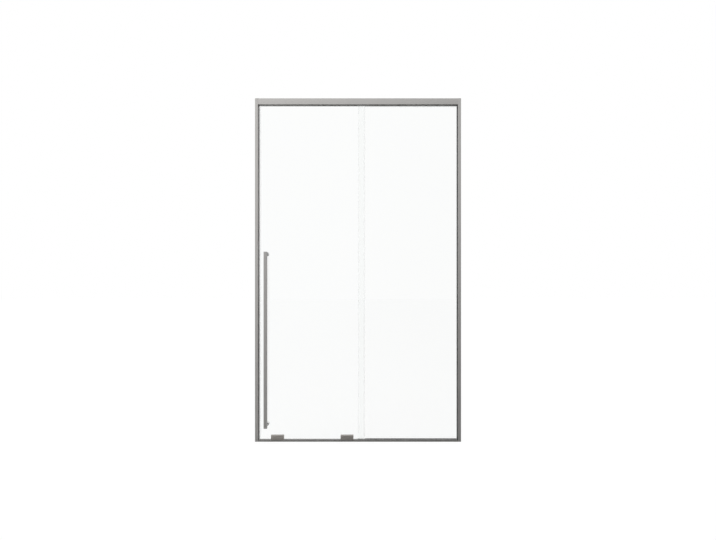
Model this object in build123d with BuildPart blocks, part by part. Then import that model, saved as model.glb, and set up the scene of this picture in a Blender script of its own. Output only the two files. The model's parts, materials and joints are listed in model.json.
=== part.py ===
from build123d import *
import os

os.makedirs("parts", exist_ok=True)

# Framed sliding shower door, closed, with one sliding pane and one fixed pane.
# X runs to the right as seen from the room, Y into the shower, Z up, in millimetres.
# The origin is the middle of the sill's underside.

# Frame sizes
overall_width = 1219.2
overall_height = 2032.0
frame_depth = 50.0
jamb_face = 18.5
header_height = 37.0
sill_height = 10.5
sill_back_height = 6.0
wall = 2.0
edge_round = 0.8
fine_round = 0.4
cap_thickness = 1.5
cap_tongue = 5.5
cap_tongue_width = 6.0
cap_tongue_length = 22.0

# Glazing pocket at the back of the frame, for the fixed glass
glazing_width = 15.0
glazing_depth = 9.0
gasket_proud = 1.5
gasket_base = 1.5

# Panes
glass_thickness = 8.0
glass_arris = 0.6
door_plane = -12.0
door_overlap = 41.0
door_glass_foot = 14.5
door_glass_rise = 26.0
fixed_edge = 0.0
fixed_glass_rise = 13.0
door_travel = 505.0

# Roller rail in the header
rail_plane = -0.4
rail_half_width = 3.4
rail_bead_radius = 2.0
rail_gap = 0.2

# Rollers
rolling_radius = 11.0
wheel_width = 7.0
bearing_radius = 8.0
bearing_inset = 0.5
inner_ring_radius = 3.5
running_clearance = 0.05
ring_proud = 0.2
axle_radius = 2.5
axle_washer_radius = 4.5
axle_washer_thickness = 0.5
axle_head_radius = 3.6
axle_head_thickness = 1.0

# Carriages, each a steel plate with two rollers, bolted to the sliding glass
carriage_inset = 106.0
carriage_length = 90.0
carriage_height = 28.0
carriage_thickness = 2.5
carriage_corner = 4.0
carriage_gasket = 1.0
bolt_drop = 14.5
bolt_radius = 2.5
bolt_head_radius = 4.5
bolt_head_height = 3.5
bolt_socket_radius = 1.7
bolt_socket_depth = 2.0
bolt_washer_radius = 6.5
bolt_washer_thickness = 1.0
bush_wall = 2.5
nut_radius = 4.6
nut_height = 4.0
nut_clearance = 2.4
bolt_tip = 1.0

# Header stops
stop_length = 18.0
stop_heel = 4.0
stop_top = 22.0
stop_lift = 1.8
stop_gap = 0.3
bumper_radius = 6.0
bumper_length = 3.0
stop_screw_rise = 16.0
stop_screw_tip = 4.0

# Screws
screw_radius = 2.1
screw_head_radius = 3.4
screw_head_height = 2.5
screw_grip = 22.0
port_wall = 1.6
port_inset = 5.5
sill_port_depth = -0.5

# Wall channels behind the jambs
channel_wall = 1.5
channel_flange = 7.0
channel_fit = 0.25
channel_end = 14.0
anchor_radius = 3.0
anchor_spacing = 578.0
lock_spacing = 820.0
lock_tip = 5.0

# Guide groove in the sill
groove_width = 5.6
groove_floor = 3.0

# Bottom guides on the sliding glass
guide_width = 76.0
guide_top = 38.0
guide_gap = 0.8
guide_proud = 3.0
guide_round = 1.5
guide_pad = 1.0
guide_clamp = 5.0
guide_screw_spacing = 50.0
guide_screw_height = 27.0
guide_screw_depth = 7.0
glide_clearance = 0.3
glide_fin_foot = 4.5

# Handle
handle_inset = 40.7
handle_standoff = 40.0
bar_side = 20.0
bar_wall = 1.5
bar_round = 0.8
bar_length = 1035.0
bar_foot = 88.0
plug_thickness = 2.0
post_inset = 13.0
post_radius = 8.0
post_spigot_radius = 5.0
stud_radius = 4.0
stud_in_post = 19.0
stud_in_knob = 17.0
sleeve_wall = 2.0
handle_washer = 1.0
handle_washer_radius = 10.0
knob_radius = 12.5
knob_length = 29.0
knob_round = 2.0
knob_neck = 1.5
knob_neck_length = 3.0

# Seals
seal_wall = 1.0
seal_grip = 8.0
strike_width = 12.0
strike_thickness = 4.0
strike_gap = 0.4
magnet_width = 6.0
magnet_thickness = 2.0
seal_end_gap = 1.5
rear_nose = 2.0
fin_thickness = 1.2
fin_clearance = 0.4
fin_foot = 42.0
fin_top_gap = 5.0
strip_drop = 1.5
block_length = 60.0
block_inset = 75.0
filler_wall = 1.5
filler_leg = 8.0

# Faces of the frame
half_width = overall_width / 2
inner_x = half_width - jamb_face
front = -frame_depth / 2
back = frame_depth / 2
header_bottom = overall_height - header_height
header_ceiling = overall_height - wall
jamb_top = overall_height - cap_thickness
pocket_front = back - wall - glazing_width
pocket_back = back - wall
web_front = pocket_front - wall
pocket_floor = inner_x + glazing_depth

# Faces of the panes
door_glass_front = door_plane - glass_thickness / 2
door_glass_back = door_plane + glass_thickness / 2
door_glass_left = -inner_x + strike_thickness + strike_gap + strike_thickness
door_glass_right = fixed_edge + door_overlap
door_glass_top = header_bottom + door_glass_rise
fixed_plane = pocket_front + glazing_width / 2
fixed_glass_front = fixed_plane - glass_thickness / 2
fixed_glass_back = fixed_plane + glass_thickness / 2
fixed_glass_right = pocket_floor - gasket_base
fixed_glass_foot = wall + gasket_base
fixed_glass_top = header_bottom + fixed_glass_rise

# Places along the sliding pane
flange_radius = rolling_radius + rail_bead_radius
roller_spacing = carriage_length - 2 * flange_radius
bolt_spacing = roller_spacing - 2 * (flange_radius + nut_clearance + nut_radius)
carriage_xs = [door_glass_left + carriage_inset, door_glass_right - carriage_inset]
roller_xs = [x + side * roller_spacing / 2 for x in carriage_xs for side in (-1, 1)]
bolt_xs = [x + side * bolt_spacing / 2 for x in carriage_xs for side in (-1, 1)]
bolt_z = door_glass_top - bolt_drop
guide_screw_xs = [x + side * guide_screw_spacing / 2 for x in carriage_xs for side in (-1, 1)]
handle_x = door_glass_left + handle_inset
post_zs = [bar_foot + post_inset, bar_foot + bar_length - post_inset]

# Depths and height of the rollers
rail_top = header_bottom + wall
wheel_z = rail_top + rail_bead_radius + rail_gap + rolling_radius
wheel_front = rail_plane - wheel_width / 2
wheel_back = rail_plane + wheel_width / 2
plate_front = door_glass_back + carriage_gasket
plate_back = plate_front + carriage_thickness
ring_back = wheel_back + ring_proud

# Places of the header stops, one beyond the outer end of a carriage at each end of the travel
stop_reach = carriage_length / 2 + stop_gap + bumper_length
stop_faces = [(carriage_xs[0] - stop_reach, -1), (carriage_xs[-1] + stop_reach + door_travel, 1)]
stop_screw_z = rail_top + stop_screw_rise
stop_screw_places = [(face + side * stop_length / 2, stop_screw_z) for face, side in stop_faces]

# Screw ports, the round channels that run along the header and the sill
port_radius = screw_radius + port_wall
header_port_z = overall_height - port_inset
header_port_ys = [front + port_inset, back - port_inset]
sill_port_z = sill_height / 2
sill_port_ys = [front + port_inset, sill_port_depth]
lock_x = half_width - (channel_wall + channel_flange) / 2
middle_height = overall_height / 2
anchor_zs = [middle_height + step * anchor_spacing for step in (-1.5, -0.5, 0.5, 1.5)]
lock_zs = [middle_height + step * lock_spacing for step in (-1, 0, 1)]


def sill_top(depth):
    # Height of the sill's sloping top face at a depth
    fall = (sill_height - sill_back_height) / frame_depth
    return sill_height - fall * (depth - front)


def at_depth(depth):
    # An upright plane at a depth, facing the room, so that what is extruded from it comes forward
    return Plane.XZ.offset(-depth)


def between(low_u, high_u, low_v, high_v, mode=Mode.ADD):
    # A rectangle from its low corner to its high corner on the sketch in hand
    with Locations(((low_u + high_u) / 2, (low_v + high_v) / 2)):
        Rectangle(high_u - low_u, high_v - low_v, mode=mode)


def rings(places, radius, bore):
    # Flat rings round a list of places on the sketch in hand
    with Locations(*places):
        Circle(radius)
        Circle(bore, mode=Mode.SUBTRACT)


# Header, a deep channel with the roller rail in front and the glazing pocket behind
with BuildPart() as header:
    with BuildSketch(Plane.YZ.offset(-inner_x)) as header_profile:
        between(front, back, header_bottom, overall_height)
        fillet(header_profile.vertices(), edge_round)
        between(front + wall, web_front, rail_top, header_ceiling, Mode.SUBTRACT)
        rail_lip_front = rail_plane - rail_half_width
        between(front + wall, rail_lip_front, header_bottom - wall, rail_top, Mode.SUBTRACT)
        between(pocket_front, pocket_back, header_bottom - wall, header_ceiling, Mode.SUBTRACT)
        with Locations((rail_plane, rail_top)):
            Circle(rail_bead_radius)
        with Locations(*[(depth, header_port_z) for depth in header_port_ys]):
            Circle(port_radius)
            Circle(screw_radius, mode=Mode.SUBTRACT)
    extrude(amount=2 * inner_x)
    with BuildSketch(at_depth(pocket_front)):
        with Locations(*stop_screw_places):
            Circle(screw_radius)
    extrude(amount=wall, mode=Mode.SUBTRACT)
header.part.label = "header"
export_step(header.part, "parts/header.step")

# Sill, a low track that falls towards the shower, with the guide groove and the glazing pocket
with BuildPart() as sill:
    with BuildSketch(Plane.YZ.offset(-inner_x)):
        with BuildLine():
            Polyline(
                (front, 0),
                (back, 0),
                (back, sill_back_height),
                (front, sill_height),
                close=True,
            )
        make_face()
        groove_front = door_plane - groove_width / 2
        groove_back = door_plane + groove_width / 2
        between(groove_front, groove_back, groove_floor, sill_height, Mode.SUBTRACT)
        between(pocket_front, pocket_back, wall, sill_height, Mode.SUBTRACT)
        chamber_top = sill_top(web_front) - wall
        between(groove_back + wall, web_front, wall, chamber_top, Mode.SUBTRACT)
        with Locations(*[(depth, sill_port_z) for depth in sill_port_ys]):
            Circle(port_radius)
            Circle(screw_radius, mode=Mode.SUBTRACT)
    extrude(amount=2 * inner_x)
sill.part.label = "sill"
export_step(sill.part, "parts/sill.step")

# Left jamb, a channel open to the wall, with screw holes for the header, the sill and its lock
with BuildPart() as left_jamb:
    with BuildSketch():
        between(-half_width, -inner_x, front, back)
        between(-half_width, -inner_x - wall, front + wall, back - wall, Mode.SUBTRACT)
    extrude(amount=jamb_top)
    fillet(left_jamb.edges().filter_by(Axis.Z).group_by(Axis.X)[-1], edge_round)
    header_holes = [(depth, header_port_z) for depth in header_port_ys]
    sill_holes = [(depth, sill_port_z) for depth in sill_port_ys]
    with BuildSketch(Plane.YZ.offset(-inner_x - wall)):
        with Locations(*header_holes, *sill_holes):
            Circle(screw_radius)
    extrude(amount=wall, mode=Mode.SUBTRACT)
    with BuildSketch(at_depth(back)):
        with Locations(*[(-lock_x, height) for height in lock_zs]):
            Circle(screw_radius)
    extrude(amount=wall, mode=Mode.SUBTRACT)
left_jamb.part.label = "left_jamb"
export_step(left_jamb.part, "parts/left_jamb.step")

# Right jamb, the same channel with the glazing pocket let into its inner face
with BuildPart() as right_jamb:
    with BuildSketch():
        between(inner_x, half_width, front, back)
        between(inner_x + wall, half_width, front + wall, back - wall, Mode.SUBTRACT)
        between(inner_x, pocket_floor + wall, web_front, back - wall)
        between(inner_x, pocket_floor, pocket_front, pocket_back, Mode.SUBTRACT)
    extrude(amount=jamb_top)
    outer_edges = right_jamb.edges().filter_by(Axis.Z).group_by(Axis.X)[0]
    fillet([outer_edges.sort_by(Axis.Y)[0], outer_edges.sort_by(Axis.Y)[-1]], edge_round)
    with BuildSketch(Plane.YZ.offset(inner_x)):
        with Locations(*header_holes, *sill_holes):
            Circle(screw_radius)
    extrude(amount=pocket_floor + wall - inner_x, mode=Mode.SUBTRACT)
    with BuildSketch(at_depth(back)):
        with Locations(*[(lock_x, height) for height in lock_zs]):
            Circle(screw_radius)
    extrude(amount=wall, mode=Mode.SUBTRACT)
right_jamb.part.label = "right_jamb"
export_step(right_jamb.part, "parts/right_jamb.step")

# Jamb caps, each a plate on top of a jamb with a tongue behind the jamb's face
with BuildPart() as jamb_caps:
    with BuildSketch(Plane.XY.offset(jamb_top)):
        for side in (-1, 1):
            with Locations((side * (half_width - jamb_face / 2), 0)):
                Rectangle(jamb_face, frame_depth)
    extrude(amount=cap_thickness)
    fillet(jamb_caps.edges().group_by(Axis.Z)[-1], fine_round)
    with BuildSketch(Plane.XY.offset(jamb_top)):
        for side in (-1, 1):
            tongue_x = side * (half_width - cap_tongue_width)
            with Locations((tongue_x, front + wall + cap_tongue_length / 2)):
                Rectangle(cap_tongue_width, cap_tongue_length)
    extrude(amount=-cap_tongue)
jamb_caps.part.label = "jamb_caps"
export_step(jamb_caps.part, "parts/jamb_caps.step")

# Wall channels, screwed to the walls, with the jambs slid over them
channel_outer = back - wall - channel_fit
channel_height = overall_height - 2 * channel_end
for name, side in (("left_wall_channel", -1), ("right_wall_channel", 1)):
    wall_x = side * half_width
    with BuildPart() as wall_channel:
        with BuildSketch(Plane.XY.offset(channel_end)):
            with Locations((wall_x - side * channel_flange / 2, 0)):
                Rectangle(channel_flange, 2 * channel_outer)
            with Locations((wall_x - side * (channel_wall + channel_flange / 2), 0)):
                Rectangle(channel_flange, 2 * (channel_outer - channel_wall), mode=Mode.SUBTRACT)
        extrude(amount=channel_height)
        with BuildSketch(Plane.YZ.offset(wall_x)):
            with Locations(*[(0, height) for height in anchor_zs]):
                Circle(anchor_radius)
        extrude(amount=-side * channel_wall, mode=Mode.SUBTRACT)
        with BuildSketch(at_depth(channel_outer)):
            with Locations(*[(side * lock_x, height) for height in lock_zs]):
                Circle(screw_radius)
        extrude(amount=channel_wall, mode=Mode.SUBTRACT)
    wall_channel.part.label = name
    export_step(wall_channel.part, f"parts/{name}.step")

# Corner screws, from inside the jambs into the header's and the sill's screw ports
with BuildPart() as corner_screws:
    for side in (-1, 1):
        for depth, height in header_holes + sill_holes:
            behind_pocket = side > 0 and depth > web_front
            seat = pocket_floor + wall if behind_pocket else inner_x + wall
            with BuildSketch(Plane.YZ.offset(side * seat)):
                with Locations((depth, height)):
                    Circle(screw_head_radius)
            extrude(amount=side * screw_head_height)
            with BuildSketch(Plane.YZ.offset(side * seat)):
                with Locations((depth, height)):
                    Circle(screw_radius)
            extrude(amount=-side * (seat - inner_x + screw_grip))
corner_screws.part.label = "corner_screws"
export_step(corner_screws.part, "parts/corner_screws.step")

# Lock screws, through the back of each jamb into its wall channel
with BuildPart() as lock_screws:
    lock_places = [(side * lock_x, height) for side in (-1, 1) for height in lock_zs]
    with BuildSketch(at_depth(back + screw_head_height)):
        with Locations(*lock_places):
            Circle(screw_head_radius)
    extrude(amount=screw_head_height)
    fillet(lock_screws.edges().group_by(Axis.Y)[-1], edge_round)
    with BuildSketch(at_depth(back)):
        with Locations(*lock_places):
            Circle(screw_radius)
    extrude(amount=lock_tip)
lock_screws.part.label = "lock_screws"
export_step(lock_screws.part, "parts/lock_screws.step")

# Sliding glass, with holes for the handle, the carriages and the guides
with BuildPart() as sliding_glass:
    with BuildSketch(at_depth(door_glass_back)):
        between(door_glass_left, door_glass_right, door_glass_foot, door_glass_top)
    extrude(amount=glass_thickness)
    rim = sliding_glass.faces().filter_by(Axis.Y).edges()
    chamfer(rim, glass_arris)
    with BuildSketch(at_depth(door_glass_back)):
        with Locations(*[(handle_x, height) for height in post_zs]):
            Circle(stud_radius + sleeve_wall)
        with Locations(*[(x, bolt_z) for x in bolt_xs]):
            Circle(bolt_radius + bush_wall)
        with Locations(*[(x, guide_screw_height) for x in guide_screw_xs]):
            Circle(bolt_radius)
    extrude(amount=glass_thickness, mode=Mode.SUBTRACT)
sliding_glass.part.label = "sliding_glass"
export_step(sliding_glass.part, "parts/sliding_glass.step")

# Fixed glass, from the middle of the opening into the right jamb, the header and the sill
with BuildPart() as fixed_glass:
    with BuildSketch(at_depth(fixed_glass_back)):
        between(fixed_edge, fixed_glass_right, fixed_glass_foot, fixed_glass_top)
    extrude(amount=glass_thickness)
    chamfer(fixed_glass.faces().filter_by(Axis.Y).edges(), glass_arris)
fixed_glass.part.label = "fixed_glass"
export_step(fixed_glass.part, "parts/fixed_glass.step")

# Carriage plates, steel, with holes for the bolts and the roller axles
plate_foot = wheel_z - carriage_height / 2
with BuildPart() as carriage_plates:
    with BuildSketch(at_depth(plate_back)):
        with Locations(*[(x, wheel_z) for x in carriage_xs]):
            RectangleRounded(carriage_length, carriage_height, carriage_corner)
        with Locations(*[(x, bolt_z) for x in bolt_xs]):
            Circle(bolt_radius, mode=Mode.SUBTRACT)
        with Locations(*[(x, wheel_z) for x in roller_xs]):
            Circle(axle_radius, mode=Mode.SUBTRACT)
    extrude(amount=carriage_thickness)
carriage_plates.part.label = "carriage_plates"
export_step(carriage_plates.part, "parts/carriage_plates.step")

# Carriage gaskets, between the plates and the glass
gasket_top = door_glass_top - glass_arris
with BuildPart() as carriage_gaskets:
    with BuildSketch(at_depth(plate_front)):
        for x in carriage_xs:
            between(x - carriage_length / 2, x + carriage_length / 2, plate_foot, gasket_top)
        with Locations(*[(x, bolt_z) for x in bolt_xs]):
            Circle(bolt_radius, mode=Mode.SUBTRACT)
        with Locations(*[(x, wheel_z) for x in roller_xs]):
            Circle(axle_head_radius, mode=Mode.SUBTRACT)
    extrude(amount=carriage_gasket)
carriage_gaskets.part.label = "carriage_gaskets"
export_step(carriage_gaskets.part, "parts/carriage_gaskets.step")

# Carriage bolts, from the front of the glass through bush, gasket and plate into the nuts
bolt_seat = door_glass_front - bolt_washer_thickness
bolt_places = [(x, bolt_z) for x in bolt_xs]
with BuildPart() as carriage_bolts:
    with BuildSketch(at_depth(bolt_seat)):
        with Locations(*bolt_places):
            Circle(bolt_head_radius)
    extrude(amount=bolt_head_height)
    fillet(carriage_bolts.edges().group_by(Axis.Y)[0], edge_round)
    with BuildSketch(at_depth(bolt_seat - bolt_head_height + bolt_socket_depth)):
        with Locations(*bolt_places):
            RegularPolygon(bolt_socket_radius, 6)
    extrude(amount=bolt_socket_depth, mode=Mode.SUBTRACT)
    with BuildSketch(at_depth(plate_back + nut_height + bolt_tip)):
        with Locations(*bolt_places):
            Circle(bolt_radius)
    extrude(amount=plate_back + nut_height + bolt_tip - bolt_seat)
carriage_bolts.part.label = "carriage_bolts"
export_step(carriage_bolts.part, "parts/carriage_bolts.step")

# Washers under the carriage bolts' heads
with BuildPart() as carriage_washers:
    with BuildSketch(at_depth(door_glass_front)):
        rings(bolt_places, bolt_washer_radius, bolt_radius)
    extrude(amount=bolt_washer_thickness)
carriage_washers.part.label = "carriage_washers"
export_step(carriage_washers.part, "parts/carriage_washers.step")

# Bushes that keep the carriage bolts off the glass
with BuildPart() as carriage_bushes:
    with BuildSketch(at_depth(door_glass_back)):
        rings(bolt_places, bolt_radius + bush_wall, bolt_radius)
    extrude(amount=glass_thickness)
carriage_bushes.part.label = "carriage_bushes"
export_step(carriage_bushes.part, "parts/carriage_bushes.step")

# Nuts behind the carriage plates
with BuildPart() as carriage_nuts:
    with BuildSketch(at_depth(plate_back + nut_height)):
        with Locations(*bolt_places):
            RegularPolygon(nut_radius, 6)
            Circle(bolt_radius, mode=Mode.SUBTRACT)
    extrude(amount=nut_height)
carriage_nuts.part.label = "carriage_nuts"
export_step(carriage_nuts.part, "parts/carriage_nuts.step")

# Roller axles, riveted in the plates, with a head at the far end
axle_places = [(x, wheel_z) for x in roller_xs]
axle_end = ring_back + axle_washer_thickness
with BuildPart() as roller_axles:
    with BuildSketch(at_depth(axle_end)):
        with Locations(*axle_places):
            Circle(axle_radius)
    extrude(amount=axle_end - plate_front)
    with BuildSketch(at_depth(axle_end + axle_head_thickness)):
        with Locations(*axle_places):
            Circle(axle_head_radius)
    extrude(amount=axle_head_thickness)
    fillet(roller_axles.edges().group_by(Axis.Y)[-1], fine_round)
roller_axles.part.label = "roller_axles"
export_step(roller_axles.part, "parts/roller_axles.step")

# Washers between the axle heads and the bearings
with BuildPart() as axle_washers:
    with BuildSketch(at_depth(axle_end)):
        rings(axle_places, axle_washer_radius, axle_radius)
    extrude(amount=axle_washer_thickness)
axle_washers.part.label = "axle_washers"
export_step(axle_washers.part, "parts/axle_washers.step")

# Inner rings of the bearings, clamped between plate and washer
with BuildPart() as bearing_inner_rings:
    with BuildSketch(at_depth(ring_back)):
        rings(axle_places, inner_ring_radius, axle_radius)
    extrude(amount=ring_back - plate_back)
bearing_inner_rings.part.label = "bearing_inner_rings"
export_step(bearing_inner_rings.part, "parts/bearing_inner_rings.step")

# Rollers, each a bearing in a nylon tyre whose groove runs on the rail's bead
groove_radius = rail_bead_radius + rail_gap
for number, roller_x in enumerate(roller_xs, 1):
    spin_axis = Axis((roller_x, 0, wheel_z), (0, 1, 0))
    with BuildPart() as roller_bearing:
        with BuildSketch(at_depth(wheel_back - bearing_inset)):
            rings([(roller_x, wheel_z)], bearing_radius, inner_ring_radius + running_clearance)
        extrude(amount=wheel_width - 2 * bearing_inset)
    roller_bearing.part.label = f"roller_bearing_{number}"
    export_step(roller_bearing.part, f"parts/roller_bearing_{number}.step")
    with BuildPart() as roller_tyre:
        with BuildSketch(Plane.YZ.offset(roller_x)):
            between(wheel_front, wheel_back, wheel_z - flange_radius, wheel_z - bearing_radius)
            with Locations((rail_plane, wheel_z - rolling_radius - groove_radius)):
                Circle(groove_radius, mode=Mode.SUBTRACT)
        revolve(axis=spin_axis)
    roller_tyre.part.label = f"roller_tyre_{number}"
    export_step(roller_tyre.part, f"parts/roller_tyre_{number}.step")

# Stops in the header, each a bracket on the rail, screwed to the web
with BuildPart() as stop_brackets:
    for face, side in stop_faces:
        with BuildSketch(Plane.YZ.offset(face)):
            between(web_front - stop_heel, web_front, rail_top, rail_top + stop_top)
            between(
                wheel_front,
                web_front - stop_heel,
                rail_top + rail_bead_radius + stop_lift,
                rail_top + stop_top,
            )
        extrude(amount=side * stop_length)
    with BuildSketch(at_depth(web_front)):
        with Locations(*stop_screw_places):
            Circle(screw_radius)
    extrude(amount=web_front - wheel_front, mode=Mode.SUBTRACT)
stop_brackets.part.label = "stop_brackets"
export_step(stop_brackets.part, "parts/stop_brackets.step")

# Rubber bumpers on the stops, in line with the rollers
with BuildPart() as stop_bumpers:
    for face, side in stop_faces:
        with BuildSketch(Plane.YZ.offset(face)):
            with Locations((rail_plane, wheel_z)):
                Circle(bumper_radius)
        extrude(amount=-side * bumper_length)
stop_bumpers.part.label = "stop_bumpers"
export_step(stop_bumpers.part, "parts/stop_bumpers.step")

# Screws that hold the stops to the header's web
with BuildPart() as stop_screws:
    with BuildSketch(at_depth(wheel_front)):
        with Locations(*stop_screw_places):
            Circle(screw_head_radius)
    extrude(amount=screw_head_height)
    with BuildSketch(at_depth(web_front + stop_screw_tip)):
        with Locations(*stop_screw_places):
            Circle(screw_radius)
    extrude(amount=web_front + stop_screw_tip - wheel_front)
stop_screws.part.label = "stop_screws"
export_step(stop_screws.part, "parts/stop_screws.step")

# Guide covers, the blocks that show in front of the sliding glass's foot
guide_foot = sill_height + guide_gap
guide_middle = (guide_foot + guide_top) / 2
guide_height = guide_top - guide_foot
cover_back = door_glass_front - guide_pad
cover_front = front - guide_proud
guide_places = [(x, guide_middle) for x in carriage_xs]
guide_screw_places = [(x, guide_screw_height) for x in guide_screw_xs]
with BuildPart() as guide_covers:
    with BuildSketch(at_depth(cover_back)):
        with Locations(*guide_places):
            Rectangle(guide_width, guide_height)
    extrude(amount=cover_back - cover_front)
    fillet(guide_covers.edges().group_by(Axis.Y)[0], guide_round)
    with BuildSketch(at_depth(cover_back)):
        with Locations(*guide_screw_places):
            Circle(bolt_radius)
    extrude(amount=guide_screw_depth, mode=Mode.SUBTRACT)
guide_covers.part.label = "guide_covers"
export_step(guide_covers.part, "parts/guide_covers.step")

# Guide clamps, the plates behind the glass
clamp_back = door_glass_back + guide_pad + guide_clamp
with BuildPart() as guide_clamps:
    with BuildSketch(at_depth(clamp_back)):
        with Locations(*guide_places):
            Rectangle(guide_width, guide_height)
    extrude(amount=guide_clamp)
    fillet(guide_clamps.edges().group_by(Axis.Y)[-1], guide_round)
    with BuildSketch(at_depth(clamp_back)):
        with Locations(*guide_screw_places):
            Circle(bolt_radius)
    extrude(amount=guide_clamp, mode=Mode.SUBTRACT)
guide_clamps.part.label = "guide_clamps"
export_step(guide_clamps.part, "parts/guide_clamps.step")

# Guide pads, soft sheets on both faces of the glass
with BuildPart() as guide_pads:
    for pad_back in (door_glass_front, door_glass_back + guide_pad):
        with BuildSketch(at_depth(pad_back)):
            for x in carriage_xs:
                low_x = x - guide_width / 2 + guide_round
                high_x = x + guide_width / 2 - guide_round
                between(low_x, high_x, door_glass_foot, guide_top - guide_round)
            with Locations(*guide_screw_places):
                Circle(bolt_radius, mode=Mode.SUBTRACT)
        extrude(amount=guide_pad)
guide_pads.part.label = "guide_pads"
export_step(guide_pads.part, "parts/guide_pads.step")

# Guide glides, nylon blocks under the glass with a fin in the sill's groove
glide_fin = groove_width - 2 * glide_clearance
with BuildPart() as guide_glides:
    for x in carriage_xs:
        with BuildSketch(Plane.YZ.offset(x - guide_width / 2 + guide_round)):
            between(cover_back, door_glass_back + guide_pad, guide_foot, door_glass_foot)
            between(door_plane - glide_fin / 2, door_plane + glide_fin / 2, glide_fin_foot, guide_foot)
        extrude(amount=guide_width - 2 * guide_round)
guide_glides.part.label = "guide_glides"
export_step(guide_glides.part, "parts/guide_glides.step")

# Guide screws, from the clamps through the glass into the covers
with BuildPart() as guide_screws:
    with BuildSketch(at_depth(clamp_back + screw_head_height)):
        with Locations(*guide_screw_places):
            Circle(bolt_head_radius)
    extrude(amount=screw_head_height)
    fillet(guide_screws.edges().group_by(Axis.Y)[-1], edge_round)
    with BuildSketch(at_depth(clamp_back + screw_head_height)):
        with Locations(*guide_screw_places):
            RegularPolygon(bolt_socket_radius, 6)
    extrude(amount=bolt_socket_depth, mode=Mode.SUBTRACT)
    with BuildSketch(at_depth(clamp_back)):
        with Locations(*guide_screw_places):
            Circle(bolt_radius)
    extrude(amount=clamp_back - cover_back + guide_screw_depth)
guide_screws.part.label = "guide_screws"
export_step(guide_screws.part, "parts/guide_screws.step")

# Handle bar, a square tube that stands upright in front of the sliding glass
bar_back = door_glass_front - handle_standoff
bar_middle = bar_back - bar_side / 2
bar_hollow = bar_side - 2 * bar_wall
post_places = [(handle_x, height) for height in post_zs]
with BuildPart() as handle_bar:
    with BuildSketch(Plane.XY.offset(bar_foot + plug_thickness)):
        with Locations((handle_x, bar_middle)):
            RectangleRounded(bar_side, bar_side, bar_round)
            Rectangle(bar_hollow, bar_hollow, mode=Mode.SUBTRACT)
    extrude(amount=bar_length - 2 * plug_thickness)
    with BuildSketch(at_depth(bar_back)):
        with Locations(*post_places):
            Circle(post_spigot_radius)
    extrude(amount=bar_wall, mode=Mode.SUBTRACT)
handle_bar.part.label = "handle_bar"
export_step(handle_bar.part, "parts/handle_bar.step")

# Plugs that close the ends of the bar
with BuildPart() as handle_end_plugs:
    for plug_face, side in ((bar_foot, 1), (bar_foot + bar_length, -1)):
        with BuildSketch(Plane.XY.offset(plug_face)):
            with Locations((handle_x, bar_middle)):
                RectangleRounded(bar_side, bar_side, bar_round)
        extrude(amount=side * plug_thickness)
        with BuildSketch(Plane.XY.offset(plug_face + side * plug_thickness)):
            with Locations((handle_x, bar_middle)):
                Rectangle(bar_hollow, bar_hollow)
        extrude(amount=side * (post_inset - post_spigot_radius - plug_thickness - bar_wall))
    fillet(handle_end_plugs.edges().group_by(Axis.Z)[0], bar_round)
    fillet(handle_end_plugs.edges().group_by(Axis.Z)[-1], bar_round)
handle_end_plugs.part.label = "handle_end_plugs"
export_step(handle_end_plugs.part, "parts/handle_end_plugs.step")

# Handle posts, from the bar's back wall to the washers on the glass
post_back = door_glass_front - handle_washer
with BuildPart() as handle_posts:
    with BuildSketch(at_depth(post_back)):
        with Locations(*post_places):
            Circle(post_radius)
    extrude(amount=post_back - bar_back)
    fillet(handle_posts.edges().group_by(Axis.Y)[-1], edge_round)
    with BuildSketch(at_depth(bar_back)):
        with Locations(*post_places):
            Circle(post_spigot_radius)
    extrude(amount=bar_wall)
    with BuildSketch(at_depth(post_back)):
        with Locations(*post_places):
            Circle(stud_radius)
    extrude(amount=stud_in_post, mode=Mode.SUBTRACT)
handle_posts.part.label = "handle_posts"
export_step(handle_posts.part, "parts/handle_posts.step")

# Handle washers, soft rings on both faces of the glass
with BuildPart() as handle_washers:
    for washer_back in (door_glass_front, door_glass_back + handle_washer):
        with BuildSketch(at_depth(washer_back)):
            rings(post_places, handle_washer_radius, stud_radius)
        extrude(amount=handle_washer)
handle_washers.part.label = "handle_washers"
export_step(handle_washers.part, "parts/handle_washers.step")

# Handle sleeves, round the studs where they pass through the glass
with BuildPart() as handle_sleeves:
    with BuildSketch(at_depth(door_glass_back)):
        rings(post_places, stud_radius + sleeve_wall, stud_radius)
    extrude(amount=glass_thickness)
handle_sleeves.part.label = "handle_sleeves"
export_step(handle_sleeves.part, "parts/handle_sleeves.step")

# Handle studs, threaded rods from the posts to the knobs
knob_front = door_glass_back + handle_washer
with BuildPart() as handle_studs:
    with BuildSketch(at_depth(knob_front + stud_in_knob)):
        with Locations(*post_places):
            Circle(stud_radius)
    extrude(amount=knob_front + stud_in_knob - post_back + stud_in_post)
handle_studs.part.label = "handle_studs"
export_step(handle_studs.part, "parts/handle_studs.step")

# Inner knobs, the pulls on the shower side that hold the studs
knob_back = knob_front + knob_length
with BuildPart() as inner_knobs:
    with BuildSketch(at_depth(knob_back)):
        with Locations(*post_places):
            Circle(knob_radius)
    extrude(amount=knob_length - knob_neck_length)
    fillet(inner_knobs.edges().group_by(Axis.Y)[-1], knob_round)
    with BuildSketch(at_depth(knob_front + knob_neck_length)):
        with Locations(*post_places):
            Circle(knob_radius - knob_neck)
    extrude(amount=knob_neck_length)
    with BuildSketch(at_depth(knob_front + stud_in_knob)):
        with Locations(*post_places):
            Circle(stud_radius)
    extrude(amount=stud_in_knob, mode=Mode.SUBTRACT)
inner_knobs.part.label = "inner_knobs"
export_step(inner_knobs.part, "parts/inner_knobs.step")

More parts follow.
